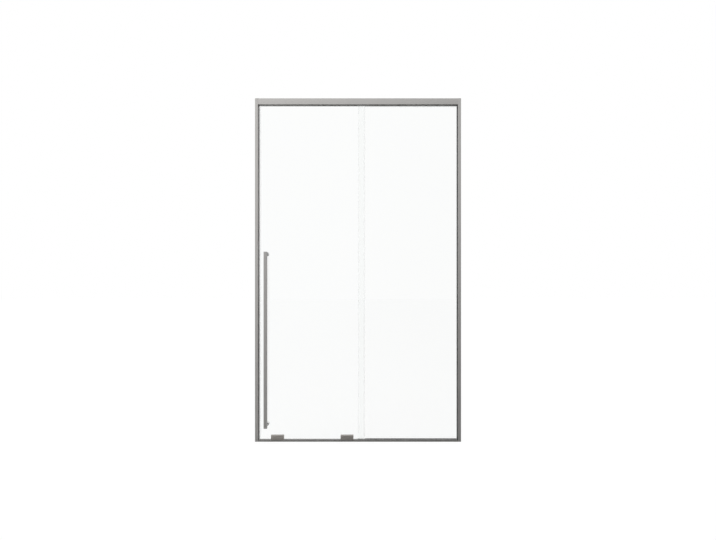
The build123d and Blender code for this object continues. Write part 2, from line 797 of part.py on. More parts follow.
# Strike seal on the left jamb, a strip with a pocket for its magnet
seal_foot = sill_height + seal_end_gap
seal_top = header_bottom - seal_end_gap
strike_face = -inner_x + strike_thickness
strike_magnet_back = -inner_x + (strike_thickness - magnet_thickness) / 2
with BuildPart() as strike_seal:
    with BuildSketch(Plane.XY.offset(seal_foot)):
        strike_front = door_plane - strike_width / 2
        between(-inner_x, strike_face, strike_front, strike_front + strike_width)
        with Locations((strike_magnet_back + magnet_thickness / 2, door_plane)):
            Rectangle(magnet_thickness, magnet_width, mode=Mode.SUBTRACT)
    extrude(amount=seal_top - seal_foot)
strike_seal.part.label = "strike_seal"
export_step(strike_seal.part, "parts/strike_seal.step")

# Door seal, clipped over the sliding glass's left edge, with a pocket for its magnet
nose_middle = strike_face + strike_gap + strike_thickness / 2
clip_front = door_glass_front - seal_wall
clip_back = door_glass_back + seal_wall
with BuildPart() as door_seal:
    with BuildSketch(Plane.XY.offset(seal_foot + seal_end_gap)):
        between(strike_face + strike_gap, door_glass_left + seal_grip, clip_front, clip_back)
        between(
            door_glass_left,
            door_glass_left + seal_grip,
            door_glass_front,
            door_glass_back,
            Mode.SUBTRACT,
        )
        with Locations((nose_middle, door_plane)):
            Rectangle(magnet_thickness, magnet_width, mode=Mode.SUBTRACT)
    extrude(amount=seal_top - seal_foot - seal_end_gap)
door_seal.part.label = "door_seal"
export_step(door_seal.part, "parts/door_seal.step")

# Magnet strips inside the two seals
magnets = (
    ("strike_magnet", strike_magnet_back + magnet_thickness / 2, seal_foot),
    ("door_magnet", nose_middle, seal_foot + seal_end_gap),
)
for name, magnet_x, magnet_foot in magnets:
    with BuildPart() as magnet:
        with BuildSketch(Plane.XY.offset(magnet_foot)):
            with Locations((magnet_x, door_plane)):
                Rectangle(magnet_thickness, magnet_width)
        extrude(amount=seal_top - magnet_foot)
    magnet.part.label = name
    export_step(magnet.part, f"parts/{name}.step")

# Rear seal, clipped over the sliding glass's right edge
with BuildPart() as rear_seal:
    with BuildSketch(Plane.XY.offset(seal_foot + seal_end_gap)):
        between(door_glass_right - seal_grip, door_glass_right + rear_nose, clip_front, clip_back)
        between(
            door_glass_right - seal_grip,
            door_glass_right,
            door_glass_front,
            door_glass_back,
            Mode.SUBTRACT,
        )
    extrude(amount=seal_top - seal_foot - seal_end_gap)
rear_seal.part.label = "rear_seal"
export_step(rear_seal.part, "parts/rear_seal.step")

# Leading seal, clipped over the fixed glass's left edge, with a fin towards the sliding glass
with BuildPart() as leading_seal:
    with BuildSketch(Plane.XY.offset(fin_foot)):
        fin_back = fixed_glass_front - seal_wall
        clip_left = fixed_edge - fin_thickness
        between(clip_left, fixed_edge + seal_grip, fin_back, fixed_glass_back + seal_wall)
        between(
            fixed_edge,
            fixed_edge + seal_grip,
            fixed_glass_front,
            fixed_glass_back,
            Mode.SUBTRACT,
        )
        between(clip_left, fixed_edge, door_glass_back + fin_clearance, fin_back)
    extrude(amount=header_bottom - fin_top_gap - fin_foot)
leading_seal.part.label = "leading_seal"
export_step(leading_seal.part, "parts/leading_seal.step")

# Side gasket, a channel in the right jamb round the fixed glass with a wide lip on the jamb's face
with BuildPart() as side_gasket:
    with BuildSketch(Plane.XY.offset(sill_height)):
        between(inner_x, pocket_floor, pocket_front, pocket_back)
        between(inner_x - gasket_proud, inner_x, front + edge_round, pocket_back)
        between(
            inner_x - gasket_proud,
            fixed_glass_right,
            fixed_glass_front,
            fixed_glass_back,
            Mode.SUBTRACT,
        )
    extrude(amount=header_bottom - sill_height)
side_gasket.part.label = "side_gasket"
export_step(side_gasket.part, "parts/side_gasket.step")

# Top gasket, an upturned channel in the header over the fixed glass
with BuildPart() as top_gasket:
    with BuildSketch(Plane.YZ.offset(fixed_edge)):
        between(pocket_front, pocket_back, header_bottom, fixed_glass_top + gasket_base)
        between(
            fixed_glass_front,
            fixed_glass_back,
            header_bottom - wall,
            fixed_glass_top,
            Mode.SUBTRACT,
        )
    extrude(amount=inner_x - fixed_edge)
top_gasket.part.label = "top_gasket"
export_step(top_gasket.part, "parts/top_gasket.step")

# Bottom strips, on both sides of the fixed glass in the sill
strip_right = inner_x - gasket_proud
with BuildPart() as bottom_strips:
    with BuildSketch(Plane.YZ.offset(fixed_edge)):
        between(pocket_front, fixed_glass_front, wall, sill_height - strip_drop)
        between(fixed_glass_back, pocket_back, wall, sill_height - strip_drop)
    extrude(amount=strip_right - fixed_edge)
bottom_strips.part.label = "bottom_strips"
export_step(bottom_strips.part, "parts/bottom_strips.step")

# Setting blocks, under the fixed glass
with BuildPart() as setting_blocks:
    with BuildSketch(Plane.XY.offset(wall)):
        block_xs = [fixed_edge + block_inset, fixed_glass_right - block_inset]
        with Locations(*[(x, fixed_plane) for x in block_xs]):
            Rectangle(block_length, glass_thickness)
    extrude(amount=gasket_base)
setting_blocks.part.label = "setting_blocks"
export_step(setting_blocks.part, "parts/setting_blocks.step")

# Header filler, a strip that closes the glazing pocket over the doorway
with BuildPart() as header_filler:
    with BuildSketch(Plane.YZ.offset(-inner_x)):
        between(pocket_front, pocket_back, header_bottom, header_bottom + filler_leg)
        between(
            pocket_front + filler_wall,
            pocket_back - filler_wall,
            header_bottom + filler_wall,
            header_bottom + filler_leg,
            Mode.SUBTRACT,
        )
    extrude(amount=inner_x + fixed_edge)
header_filler.part.label = "header_filler"
export_step(header_filler.part, "parts/header_filler.step")

# Sill filler, a strip that closes the glazing pocket in the doorway and carries on the sill's fall
with BuildPart() as sill_filler:
    with BuildSketch(Plane.YZ.offset(-inner_x)):
        leg_front = pocket_front + filler_wall
        leg_back = pocket_back - filler_wall
        with BuildLine():
            Polyline(
                (pocket_front, wall),
                (leg_front, wall),
                (leg_front, sill_top(leg_front) - filler_wall),
                (leg_back, sill_top(leg_back) - filler_wall),
                (leg_back, wall),
                (pocket_back, wall),
                (pocket_back, sill_top(pocket_back)),
                (pocket_front, sill_top(pocket_front)),
                close=True,
            )
        make_face()
    extrude(amount=inner_x + fixed_edge)
sill_filler.part.label = "sill_filler"
export_step(sill_filler.part, "parts/sill_filler.step")
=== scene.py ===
import json
import math
import bmesh
import bpy
from mathutils import Matrix, Vector


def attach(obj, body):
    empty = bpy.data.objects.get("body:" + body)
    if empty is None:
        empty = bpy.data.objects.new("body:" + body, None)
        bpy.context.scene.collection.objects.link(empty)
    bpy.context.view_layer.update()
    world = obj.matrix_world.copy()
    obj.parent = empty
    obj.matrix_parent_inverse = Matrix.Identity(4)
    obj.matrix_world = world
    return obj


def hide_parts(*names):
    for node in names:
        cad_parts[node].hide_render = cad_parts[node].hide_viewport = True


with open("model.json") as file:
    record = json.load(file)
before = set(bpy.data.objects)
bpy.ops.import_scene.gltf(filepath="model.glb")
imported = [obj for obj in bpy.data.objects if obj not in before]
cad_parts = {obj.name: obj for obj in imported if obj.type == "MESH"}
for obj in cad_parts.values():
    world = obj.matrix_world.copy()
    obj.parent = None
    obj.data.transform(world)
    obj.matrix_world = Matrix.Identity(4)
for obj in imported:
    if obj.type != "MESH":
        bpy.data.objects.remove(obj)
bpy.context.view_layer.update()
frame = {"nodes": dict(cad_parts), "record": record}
bodyOf = {node: body for body, nodes in frame["record"]["behaviour"]["bodies"].items() for node in nodes}


class Wire:
    # one output socket, so that shader maths is written as plain expressions
    def __init__(self, nodes, socket):
        self.nodes = nodes
        self.socket = socket

    def maths(self, operation, *others, flipped=False):
        values = [*others, self] if flipped else [self, *others]
        return self.nodes.add("Math", {"operation": operation}, dict(enumerate(values)))

    def __add__(self, other):
        return self.maths("ADD", other)

    def __sub__(self, other):
        return self.maths("SUBTRACT", other)

    def __rsub__(self, other):
        return self.maths("SUBTRACT", other, flipped=True)

    def __mul__(self, other):
        return self.maths("MULTIPLY", other)

    __radd__ = __add__
    __rmul__ = __mul__

    def most(self, other):
        return self.maths("MAXIMUM", other)


class Nodes:
    # a node tree; add() takes a node's type, its settings and what its sockets get
    def __init__(self, owner):
        owner.use_nodes = True
        self.owner = owner
        self.tree = owner.node_tree

    def feed(self, socket, value):
        if isinstance(value, Wire):
            self.tree.links.new(value.socket, socket)
        elif isinstance(value, (tuple, list)) and len(value) == 3 and socket.type == "RGBA":
            socket.default_value = (*value, 1)
        else:
            socket.default_value = value

    def add(self, kind, settings=None, inputs=None, output=0):
        node = self.tree.nodes.new("ShaderNode" + kind)
        for setting, value in (settings or {}).items():
            setattr(node, setting, value)
        for key, value in (inputs or {}).items():
            self.feed(node.inputs[key], value)
        return Wire(self, node.outputs[output])

    def blend(self, factor, low, high):
        return self.add("Mix", {"data_type": "RGBA"}, {0: factor, 6: low, 7: high}, 2)

    def noise(self, place, scale, detail=2.0, rough=0.5):
        inputs = {"Vector": place, "Scale": scale, "Detail": detail, "Roughness": rough}
        return self.add("TexNoise", None, inputs)

    def place(self, scale=(1, 1, 1)):
        spot = self.add("TexCoord", output="Object")
        return self.add("Mapping", None, {"Vector": spot, "Scale": scale})

    def ramp(self, value, low, high, fromLow=0.0, fromHigh=1.0):
        inputs = {0: value, 1: fromLow, 2: fromHigh, 3: low, 4: high}
        return self.add("MapRange", {"clamp": True}, inputs)


def newMaterial(name, **fixed):
    # a material whose constant values sit on the shader's own sockets
    nodes = Nodes(bpy.data.materials.new(name))
    nodes.surface = nodes.tree.nodes["Principled BSDF"]
    for socket, value in fixed.items():
        nodes.feed(nodes.surface.inputs[socket.replace("_", " ")], value)
    return nodes


def bump(nodes, height, strength, distance):
    inputs = {"Height": height, "Strength": strength, "Distance": distance}
    nodes.feed(nodes.surface.inputs["Normal"], nodes.add("Bump", None, inputs))


# stage: camera, floor, world and lamps
view = {
    "lens": 35.0,
    "back": 4.143,  # how far the camera stands in front of the origin
    "height": 1.016,
}
studio = {
    "floorPaintedLight": (0.68, 0.68, 0.68),  # painted light and painted shade: the floor's colour on the lamp's side, and on the other, as reflections and bounced light see it
    "floorPaintedShade": (0.17, 0.17, 0.17),
    "floorPale": (0.82, 0.82, 0.82),  # its colour where the camera sees it, under the object's shadow
    "floorWhite": 0.88,  # how much of the floor that the camera sees is plain white
    "floorStrength": 1.065,
    "floorSize": 20,
    "floorPaintedFade": 1.2,  # how far to each side the floor's painted light goes over into its painted shade
    "roomLevel": 0.97,  # how bright the room in front of the door is, for metal to reflect
    "roomUp": 0.36,  # and how much that changes from floor to ceiling
    "roomAcross": 0.74,  # from left to right
    "roomRight": 0.75,  # and how much more on the right alone
    "roomLeast": 0.1,
    "roomMost": 1.4,
    "ambient": 0.75,
    "lampPlace": (-2.8, -2.4, 4.6),
    "lampAim": (-0.2, 0, 1.2),
    "lampSize": 2.6,
    "lampPower": 14.0,
}


def makeCamera():
    camera = bpy.data.objects.new("camera", bpy.data.cameras.new("camera"))
    camera.data.lens = view["lens"]
    camera.location = (0, -view["back"], view["height"])
    camera.rotation_euler = (math.pi / 2, 0, 0)
    bpy.context.scene.collection.objects.link(camera)
    bpy.context.scene.camera = camera
    bpy.context.scene.view_settings.view_transform = "Standard"


def makeWorld():
    world = bpy.data.worlds.new("studio")
    bpy.context.scene.world = world
    nodes = Nodes(world)
    toward = nodes.add("TexCoord", output="Generated")
    across, depth, up = (nodes.add("SeparateXYZ", None, {0: toward}, k) for k in range(3))
    inRoom = nodes.ramp(depth, 1.0, 0.0, -0.15, 0.15)
    room = studio["roomLevel"] + up * studio["roomUp"] - across * studio["roomAcross"]
    room = room - across.most(0) * studio["roomRight"]
    least, most = studio["roomLeast"], studio["roomMost"]
    room = nodes.ramp(room, least, most, least, most)
    seen = inRoom * room + (1 - inRoom)  # white behind the door, a softer room in front of it
    isCamera, isGlossy, isThrough = (
        nodes.add("LightPath", output=name)
        for name in ("Is Camera Ray", "Is Glossy Ray", "Is Transmission Ray")
    )
    plain = isCamera.most(isThrough)
    lit = isGlossy.most(plain)
    strength = plain + (1 - plain) * seen * (lit + (1 - lit) * studio["ambient"])
    background = nodes.tree.nodes["Background"]
    background.inputs["Color"].default_value = (1, 1, 1, 1)
    nodes.feed(background.inputs["Strength"], strength)


def makeFloor():
    bm = bmesh.new()
    bmesh.ops.create_grid(bm, x_segments=1, y_segments=1, size=studio["floorSize"])
    mesh = bpy.data.meshes.new("floor")
    bm.to_mesh(mesh)
    floor = bpy.data.objects.new("floor", mesh)
    bpy.context.scene.collection.objects.link(floor)
    nodes = Nodes(bpy.data.materials.new("floor"))
    across = nodes.add("SeparateXYZ", None, {0: nodes.place()}, 0)
    # painted light: the floor's colour runs from bright on the lamp's side to dark on the other, for
    # reflections and bounced light
    paintedLightFade = nodes.ramp(across, 0, 1, -studio["floorPaintedFade"], studio["floorPaintedFade"])
    colour = nodes.blend(paintedLightFade, studio["floorPaintedLight"], studio["floorPaintedShade"])
    isCamera, isThrough = (
        nodes.add("LightPath", output=name) for name in ("Is Camera Ray", "Is Transmission Ray")
    )
    isSeen = isCamera.most(isThrough)
    matte = nodes.add("BsdfDiffuse", None, {"Color": nodes.blend(isSeen, colour, studio["floorPale"])})
    white = nodes.add("Emission", None, {"Color": (1, 1, 1), "Strength": studio["floorStrength"]})
    mixed = nodes.add("MixShader", None, {0: isSeen * studio["floorWhite"], 1: matte, 2: white})
    nodes.feed(nodes.tree.nodes["Material Output"].inputs["Surface"], mixed)
    mesh.materials.append(nodes.owner)


def makeLamp():
    lamp = bpy.data.objects.new("key", bpy.data.lights.new("key", "AREA"))
    lamp.data.size = studio["lampSize"]
    lamp.data.energy = studio["lampPower"]
    lamp.location = studio["lampPlace"]
    aim = Vector(studio["lampAim"]) - Vector(studio["lampPlace"])
    lamp.rotation_euler = aim.to_track_quat("-Z", "Y").to_euler()
    bpy.context.scene.collection.objects.link(lamp)


makeCamera()
makeWorld()
makeFloor()
makeLamp()
print("stage set")

# finishes
nickel = {
    "colour": (0.495, 0.485, 0.472),
    "handleColour": (0.425, 0.416, 0.405),
    "guideColour": (0.43, 0.403, 0.376),
    "paintedShadeColour": (0.20, 0.195, 0.19),  # painted shade: a darker nickel on the fillers and on the shaded sides listed below
    # painted shade: the sill's nickel is darker than the rest of the frame's
    "sillPaintedShadeColour": (0.36, 0.35, 0.34),
    "shade": 0.07,  # how far the brush lines change the colour
    "smooth": 0.33,
    "rough": 0.46,
    "alongPerMetre": 2.2,
    "acrossPerMetre": 1500.0,
}


def mottled(nodes, colour, tone, spread):
    # the colour goes a little darker and lighter with a noise
    dark = tuple(c * (1 - spread) for c in colour)
    light = tuple(min(1.0, c * (1 + spread)) for c in colour)
    tint = nodes.blend(nodes.ramp(tone, 0, 1, 0.3, 0.7), dark, light)
    nodes.feed(nodes.surface.inputs["Base Color"], tint)


def brushedNickel(name, along, colour=nickel["colour"]):
    # brush lines run along one axis, with broad faint smears over them
    nodes = newMaterial(name, Metallic=1.0)
    scale = [nickel["acrossPerMetre"]] * 3
    scale["XYZ".index(along)] = nickel["alongPerMetre"]
    lines = nodes.noise(nodes.place(scale), 1.0, 3.0, 0.6)
    smears = nodes.noise(nodes.place(), 5.0, 3.0, 0.55)
    tone = lines * 0.7 + smears * 0.3
    mottled(nodes, colour, tone, nickel["shade"])
    low, high = nickel["smooth"], nickel["rough"]
    nodes.feed(nodes.surface.inputs["Roughness"], nodes.ramp(tone, low, high, 0.3, 0.7))
    bump(nodes, lines, 0.15, 0.00004)


def plainFinish(name, colour, rough, metal=0.0, grain=400.0, depth=0.1, spread=0.06):
    # moulded, cast or plated surfaces: an even colour with fine grain and faint mottling
    nodes = newMaterial(name, Metallic=metal)
    grainNoise = nodes.noise(nodes.place(), grain, 3.0, 0.6)
    tone = (grainNoise + nodes.noise(nodes.place(), grain / 12, 2.0, 0.5)) * 0.5
    mottled(nodes, colour, tone, spread)
    nodes.feed(nodes.surface.inputs["Roughness"], nodes.ramp(tone, rough * 0.85, rough * 1.15, 0.3, 0.7))
    bump(nodes, grainNoise, depth, 0.0001)


def ribbedRubber(name, colour, ribsPerMetre):
    # extruded rubber with fine ribs side by side over its depth
    nodes = newMaterial(name)
    mottled(nodes, colour, nodes.noise(nodes.place(), 90.0, 3.0, 0.6), 0.25)
    depth = nodes.add("SeparateXYZ", None, {0: nodes.place()}, 1)
    ribs = nodes.add("Math", {"operation": "SINE"}, {0: depth * (ribsPerMetre * 2 * math.pi)})
    nodes.feed(nodes.surface.inputs["Roughness"], nodes.ramp(ribs, 0.5, 0.68, -1.0, 1.0))
    bump(nodes, ribs, 0.6, 0.0002)


def clearGlass(name, faceColour, edgeColour, rough, ior):
    # the two large faces are clear, the polished rims take the glass's own green
    nodes = newMaterial(name, Transmission_Weight=1.0, IOR=ior)
    normal = nodes.add("NewGeometry", output="Normal")
    facing = nodes.add("Math", {"operation": "ABSOLUTE"}, {0: nodes.add("SeparateXYZ", None, {0: normal}, 1)})
    rim = nodes.ramp(facing, 1.0, 0.0, 0.1, 0.8)
    mist = nodes.noise(nodes.place(), 3.0, 2.0, 0.5)
    clear = nodes.blend(mist, tuple(c * 0.997 for c in faceColour), faceColour)
    nodes.feed(nodes.surface.inputs["Base Color"], nodes.blend(rim, clear, edgeColour))
    nodes.feed(nodes.surface.inputs["Roughness"], nodes.ramp(mist, rough * 0.5, rough, 0.3, 0.7) + rim * 0.05)


def clearVinyl(name, colour, seeThrough, rough):
    # thin clear plastic: mostly see-through, with a soft sheen and faint drawing lines along it
    nodes = newMaterial(name)
    lines = nodes.noise(nodes.place((900.0, 900.0, 2.0)), 1.0, 2.0, 0.5)
    mottled(nodes, colour, lines, 0.03)
    nodes.feed(nodes.surface.inputs["Roughness"], nodes.ramp(lines, rough * 0.8, rough * 1.2, 0.3, 0.7))
    solid = 1 - seeThrough
    nodes.feed(nodes.surface.inputs["Alpha"], nodes.ramp(lines, solid - 0.02, solid + 0.02, 0.3, 0.7))


brushedNickel("nickelAcross", "X")
brushedNickel("nickelUpright", "Z")
brushedNickel("nickelHandle", "Z", nickel["handleColour"])
brushedNickel("nickelGuide", "X", nickel["guideColour"])
# a darker nickel that paints the shade on the fillers and on the shaded sides
brushedNickel("nickelDark", "X", nickel["paintedShadeColour"])
# a darker nickel for the sill, as painted shade
brushedNickel("nickelSill", "X", nickel["sillPaintedShadeColour"])
plainFinish("chrome", (0.83, 0.83, 0.825), 0.12, 1.0, 250.0, 0.02, 0.02)
clearGlass("glass", (0.970, 0.977, 0.973), (0.86, 0.95, 0.92), 0.004, 1.45)
clearVinyl("vinyl", (0.92, 0.93, 0.92), 0.92, 0.25)
clearVinyl("clearestVinyl", (0.92, 0.93, 0.92), 0.965, 0.25)
plainFinish("steel", (0.55, 0.55, 0.55), 0.3, 1.0)
plainFinish("bearingSteel", (0.6, 0.6, 0.61), 0.16, 1.0)
plainFinish("millAluminium", (0.62, 0.62, 0.63), 0.38, 1.0)
plainFinish("nylon", (0.74, 0.72, 0.67), 0.42)
plainFinish("pad", (0.12, 0.12, 0.12), 0.6)
plainFinish("magnet", (0.14, 0.137, 0.133), 0.6)
plainFinish("paleMagnet", (0.50, 0.50, 0.49), 0.6)
ribbedRubber("gasket", (0.018, 0.018, 0.019), 700.0)
print("finishes made")

# every CAD node gets a finish, which shows where no finer piece takes its place
slotFinish = {
    "brushed_frame": "nickelAcross",
    "polished_handle": "nickelHandle",
    "mill_aluminium": "millAluminium",
    "clear_glass": "glass",
    "zinc_steel": "steel",
    "bearing_steel": "bearingSteel",
    "nylon": "nylon",
    "clear_vinyl": "vinyl",
    "black_gasket": "gasket",
    "soft_pads": "pad",
    "magnet_strip": "magnet",
}
ownFinish = {
    "left_jamb": "nickelUpright",
    "right_jamb": "nickelUpright",
    "guide_covers": "nickelGuide",
    "guide_clamps": "nickelGuide",
    # the sill takes a darker nickel as painted shade
    "sill": "nickelSill",
    # the fillers take the darker nickel as painted shade
    "header_filler": "nickelDark",
    "sill_filler": "nickelDark",
    "door_magnet": "paleMagnet",
    "rear_seal": "clearestVinyl",
    "leading_seal": "clearestVinyl",
    "handle_posts": "chrome",
    "inner_knobs": "chrome",
}
slotOf = {row["node"]: row["material_slot"] for row in frame["record"]["subparts"]}
finishOf = {node: ownFinish.get(node, slotFinish[slot]) for node, slot in slotOf.items()}
for node, finish in finishOf.items():
    cad = frame["nodes"][node]
    cad.data.materials.clear()
    cad.data.materials.append(bpy.data.materials[finish])
for pane in ("sliding_glass", "fixed_glass"):
    frame["nodes"][pane].visible_shadow = False


rounding = {
    "steps": 2,
    "merge": 1e-6,  # points closer than this become one
    "flat": math.radians(0.5),  # faces that turn less than this become one
    "sharp": math.radians(40),  # edges that turn more than this are rounded
    "softCrease": math.radians(20),  # shading breaks at edges that turn more, on softened pieces
    "turnedCrease": math.radians(35),  # and on turned ones
    "facing": 0.7,  # how squarely a face looks one way to count as that side
}


def addPiece(name, bm, node, *finishes, crease=rounding["turnedCrease"]):
    # a finished piece rides where its CAD node does, takes the finishes given or else that node's finish, and
    # hides the node
    mesh = bpy.data.meshes.new(name)
    bm.to_mesh(mesh)
    bm.free()
    mesh.shade_smooth()
    mesh.set_sharp_from_angle(angle=crease)
    for finish in finishes or (finishOf[node],):
        mesh.materials.append(bpy.data.materials[finish])
    piece = bpy.data.objects.new(name, mesh)
    bpy.context.scene.collection.objects.link(piece)
    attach(piece, bodyOf[node])
    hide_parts(node)


def softened(node, width):
    # a merged copy of a CAD shape whose sharp edges are slightly rounded, as a tool leaves them
    bm = bmesh.new()
    bm.from_mesh(frame["nodes"][node].data)
    bmesh.ops.remove_doubles(bm, verts=bm.verts, dist=rounding["merge"])
    bmesh.ops.dissolve_limit(bm, angle_limit=rounding["flat"], verts=bm.verts, edges=bm.edges)
    sharp = [edge for edge in bm.edges if edge.is_manifold and edge.calc_face_angle() > rounding["sharp"]]
    bmesh.ops.bevel(
        bm, geom=sharp, offset=width, affect="EDGES", segments=rounding["steps"],
        profile=0.5, material=-1, clamp_overlap=True,
    )
    bmesh.ops.remove_doubles(bm, verts=bm.verts, dist=rounding["merge"])
    bmesh.ops.recalc_face_normals(bm, faces=bm.faces)
    return bm


softEdges = {  # pieces that keep the CAD shape, and how much their edges are rounded
    "header": 0.0003,
    "sill": 0.0003,
    "left_jamb": 0.0003,
    "right_jamb": 0.0003,
    "jamb_caps": 0.0003,
    "handle_bar": 0.0003,
    "handle_end_plugs": 0.0003,
    "guide_covers": 0.0004,
    "guide_clamps": 0.0005,
    "guide_pads": 0.0002,
    "guide_glides": 0.0004,
    "carriage_plates": 0.0003,
    "stop_brackets": 0.0004,
    "strike_seal": 0.0006,
    "door_seal": 0.0004,
    "rear_seal": 0.0003,
    "leading_seal": 0.0003,
    "side_gasket": 0.0004,
    "header_filler": 0.0003,
    "sill_filler": 0.0003,
}
paintedShadeSides = {  # sides of an extrusion that take the darker nickel, as painted shade where shade falls on them
    "header": Vector((0, 0, -1)),
    "sill": Vector((0, 0, 1)),
    "right_jamb": Vector((-1, 0, 0)),
}
for node, width in softEdges.items():
    bm = softened(node, width)
    finishes = [finishOf[node]]
    # the shaded side of these pieces takes the darker nickel, as painted shade
    if node in paintedShadeSides:
        finishes.append("nickelDark")
        for face in bm.faces:
            face.material_index = face.normal.dot(paintedShadeSides[node]) > rounding["facing"]
    addPiece(node + "Piece", bm, node, *finishes, crease=rounding["softCrease"])
print("extruded, cut and stamped pieces made")


def hexShape(angle):
    # how far out the side of a hexagon stands, as a share of its corners
    return math.cos(math.pi / 6) / math.cos(angle % (math.pi / 3) - math.pi / 6)


def crossShape(angle):
    # the same for the four arms of a cross recess
    halfArm = math.pi / 8
    fromArm = abs((angle + math.pi / 4) % (math.pi / 2) - math.pi / 4)
    return 1 / math.cos(fromArm) if fromArm < halfArm + 1e-4 else math.tan(halfArm) / math.sin(fromArm)


shapes = {"round": lambda angle: 1.0, "hex": hexShape, "cross": crossShape}


def placeRing(corners, height, radius, shape="round"):
    for corner in corners:
        angle = math.atan2(corner.co.y, corner.co.x)
        reach = radius * shapes[shape](angle)
        corner.co = (reach * math.cos(angle), reach * math.sin(angle), height)


def turned(bm, foot, axis, rings, closed=False, sides=48):
    # a ring is drawn out from one (height, radius, shape) to the next, and open ends are capped
    part = bmesh.new()
    placeRing(bmesh.ops.create_circle(part, segments=sides, radius=1)["verts"], *rings[0])
    first = loop = list(part.edges)
    for ring in rings[1:] + rings[:1] if closed else rings[1:]:
        drawn = bmesh.ops.extrude_edge_only(part, edges=loop)["geom"]
        loop = [item for item in drawn if isinstance(item, bmesh.types.BMEdge) and item.is_boundary]
        placeRing([item for item in drawn if isinstance(item, bmesh.types.BMVert)], *ring)
    if closed:
        bmesh.ops.remove_doubles(part, verts=part.verts, dist=rounding["merge"])
    else:
        bmesh.ops.contextual_create(part, geom=first)
        bmesh.ops.contextual_create(part, geom=loop)
    bmesh.ops.recalc_face_normals(part, faces=part.faces)
    if part.calc_volume(signed=True) < 0:
        bmesh.ops.reverse_faces(part, faces=part.faces)
    turn = Matrix.Translation(Vector(foot)) @ Vector(axis).to_track_quat("Z", "Y").to_matrix().to_4x4()
    bmesh.ops.transform(part, matrix=turn, verts=part.verts)
    mesh = bpy.data.meshes.new("part")
    part.to_mesh(mesh)
    part.free()
    bm.from_mesh(mesh)
    bpy.data.meshes.remove(mesh)


def turnedPieces(name, node, feet, axis, rings, closed=False, sides=48):
    bm = bmesh.new()
    for foot in feet:
        turned(bm, foot, axis, rings, closed, sides)
    addPiece(name, bm, node)


def threadRings(low, high, radius, pitch, depth):
    # crests and roots of a thread, ring by ring
    count = int((high - low) / pitch * 2)
    return [(low + k * pitch / 2, radius - depth * (k % 2)) for k in range(count + 1)]


def washerRings(bore, radius, thick):
    soft = thick * 0.15
    return [
        (0, bore), (0, radius - soft), (soft, radius),
        (thick - soft, radius), (thick, radius - soft), (thick, bore),
    ]


def crossScrew(head, rise, shank, length, pitch=0.0014):
    # a pan head screw with a cross recess; heights run from its seat to the top of its head
    thread = threadRings(shank * 0.8 - length, -0.0008, shank, pitch, 0.0003)
    return [
        (-length, shank * 0.3), *thread, (0, shank), (0, head), (rise * 0.35, head),
        (rise * 0.7, head * 0.9), (rise * 0.92, head * 0.72), (rise, head * 0.56),
        (rise, head * 0.5, "cross"), (rise - 0.0013, head * 0.4, "cross"),
    ]


def socketScrew(head, rise, shank, length, socket, deep):
    # a cap head screw with a hexagon socket
    return [
        (-length, shank * 0.8), (0.0005 - length, shank), (0, shank), (0, head), (rise * 0.7, head),
        (rise * 0.93, head * 0.93), (rise, head * 0.82), (rise, socket * 1.15),
        (rise - 0.0002, socket, "hex"), (rise - deep, socket, "hex"),
    ]


# handle: posts, inner knobs, soft washers and studs
handle = {
    "across": -0.542,
    "heights": (0.101, 1.110),
    "postFoot": -0.017,  # where the posts meet their washers
    "knobFoot": -0.007,
    "studFoot": -0.036,
    "post": 0.008,
    "knob": 0.0125,
    "washer": 0.010,
    "washerThick": 0.001,
    "stud": 0.004,
    "studLength": 0.046,
    "studPitch": 0.00125,
    "grooves": (0.0090, 0.0118, 0.0146),  # how far up a knob its grooves begin
}


def handleFeet(depth):
    return [(handle["across"], depth, height) for height in handle["heights"]]


post, knob = handle["post"], handle["knob"]
turnedPieces("handlePosts", "handle_posts", handleFeet(handle["postFoot"]), (0, -1, 0), [
    (0, post * 0.9), (0.0006, post), (0.0045, post), (0.0048, post * 0.93), (0.0056, post * 0.93),
    (0.0059, post), (0.0330, post), (0.0333, post * 0.95), (0.0339, post * 0.95), (0.0342, post),
    (0.0385, post), (0.039, post * 0.95),
])
groove = ((0, 1), (0.0003, 0.965), (0.0010, 0.965), (0.0013, 1))
grooves = [(start + step, knob * share) for start in handle["grooves"] for step, share in groove]
turnedPieces("innerKnobs", "inner_knobs", handleFeet(handle["knobFoot"]), (0, 1, 0), [
    (0, knob * 0.84), (0.0004, knob * 0.88), (0.003, knob * 0.88), (0.0032, knob * 0.95), (0.0038, knob),
    *grooves, (0.0262, knob), (0.0276, knob * 0.97), (0.0286, knob * 0.9), (0.029, knob * 0.8),
    (0.029, knob * 0.5), (0.0284, knob * 0.44), (0.0280, knob * 0.3),
])
washerFeet = handleFeet(handle["postFoot"]) + handleFeet(handle["knobFoot"] - handle["washerThick"])
turnedPieces("handleWashers", "handle_washers", washerFeet, (0, 1, 0),
             washerRings(handle["stud"], handle["washer"], handle["washerThick"]), True)
length = handle["studLength"]
thread = threadRings(0.0006, length - 0.0006, handle["stud"], handle["studPitch"], 0.0003)
turnedPieces("handleStuds", "handle_studs", handleFeet(handle["studFoot"]), (0, 1, 0),
             [(0, 0.003), *thread, (length, 0.003)])
print("handle made")

# carriages: bolts, washers, nuts, axles and rollers
carriage = {
    "middles": (-0.4767, -0.0650),  # of the two carriages, and of the guides under them
    "boltReach": 0.012,  # how far from a middle its bolts stand
    "boltHeight": 2.0065,
    "boltSeat": -0.017,
    "nutFoot": -0.0045,
    "rollerReach": 0.032,
    "rollerHeight": 2.0102,
    "tyreFoot": -0.0039,
    "bearingFoot": -0.0034,
    "axleFoot": -0.007,
    "axleWasherFoot": 0.0033,
    "innerRingFoot": -0.0045,
    "bolt": 0.0025,
    "tyre": 0.013,
    "tread": 0.011,
    "tyreWidth": 0.007,
    "bearing": 0.008,
}
bolt = carriage["bolt"]


def bothSides(reach):
    return [middle + side * reach for middle in carriage["middles"] for side in (-1, 1)]


def boltFeet(depth):
    return [(across, depth, carriage["boltHeight"]) for across in bothSides(carriage["boltReach"])]


def rollerFeet(depth):
    return [(across, depth, carriage["rollerHeight"]) for across in bothSides(carriage["rollerReach"])]


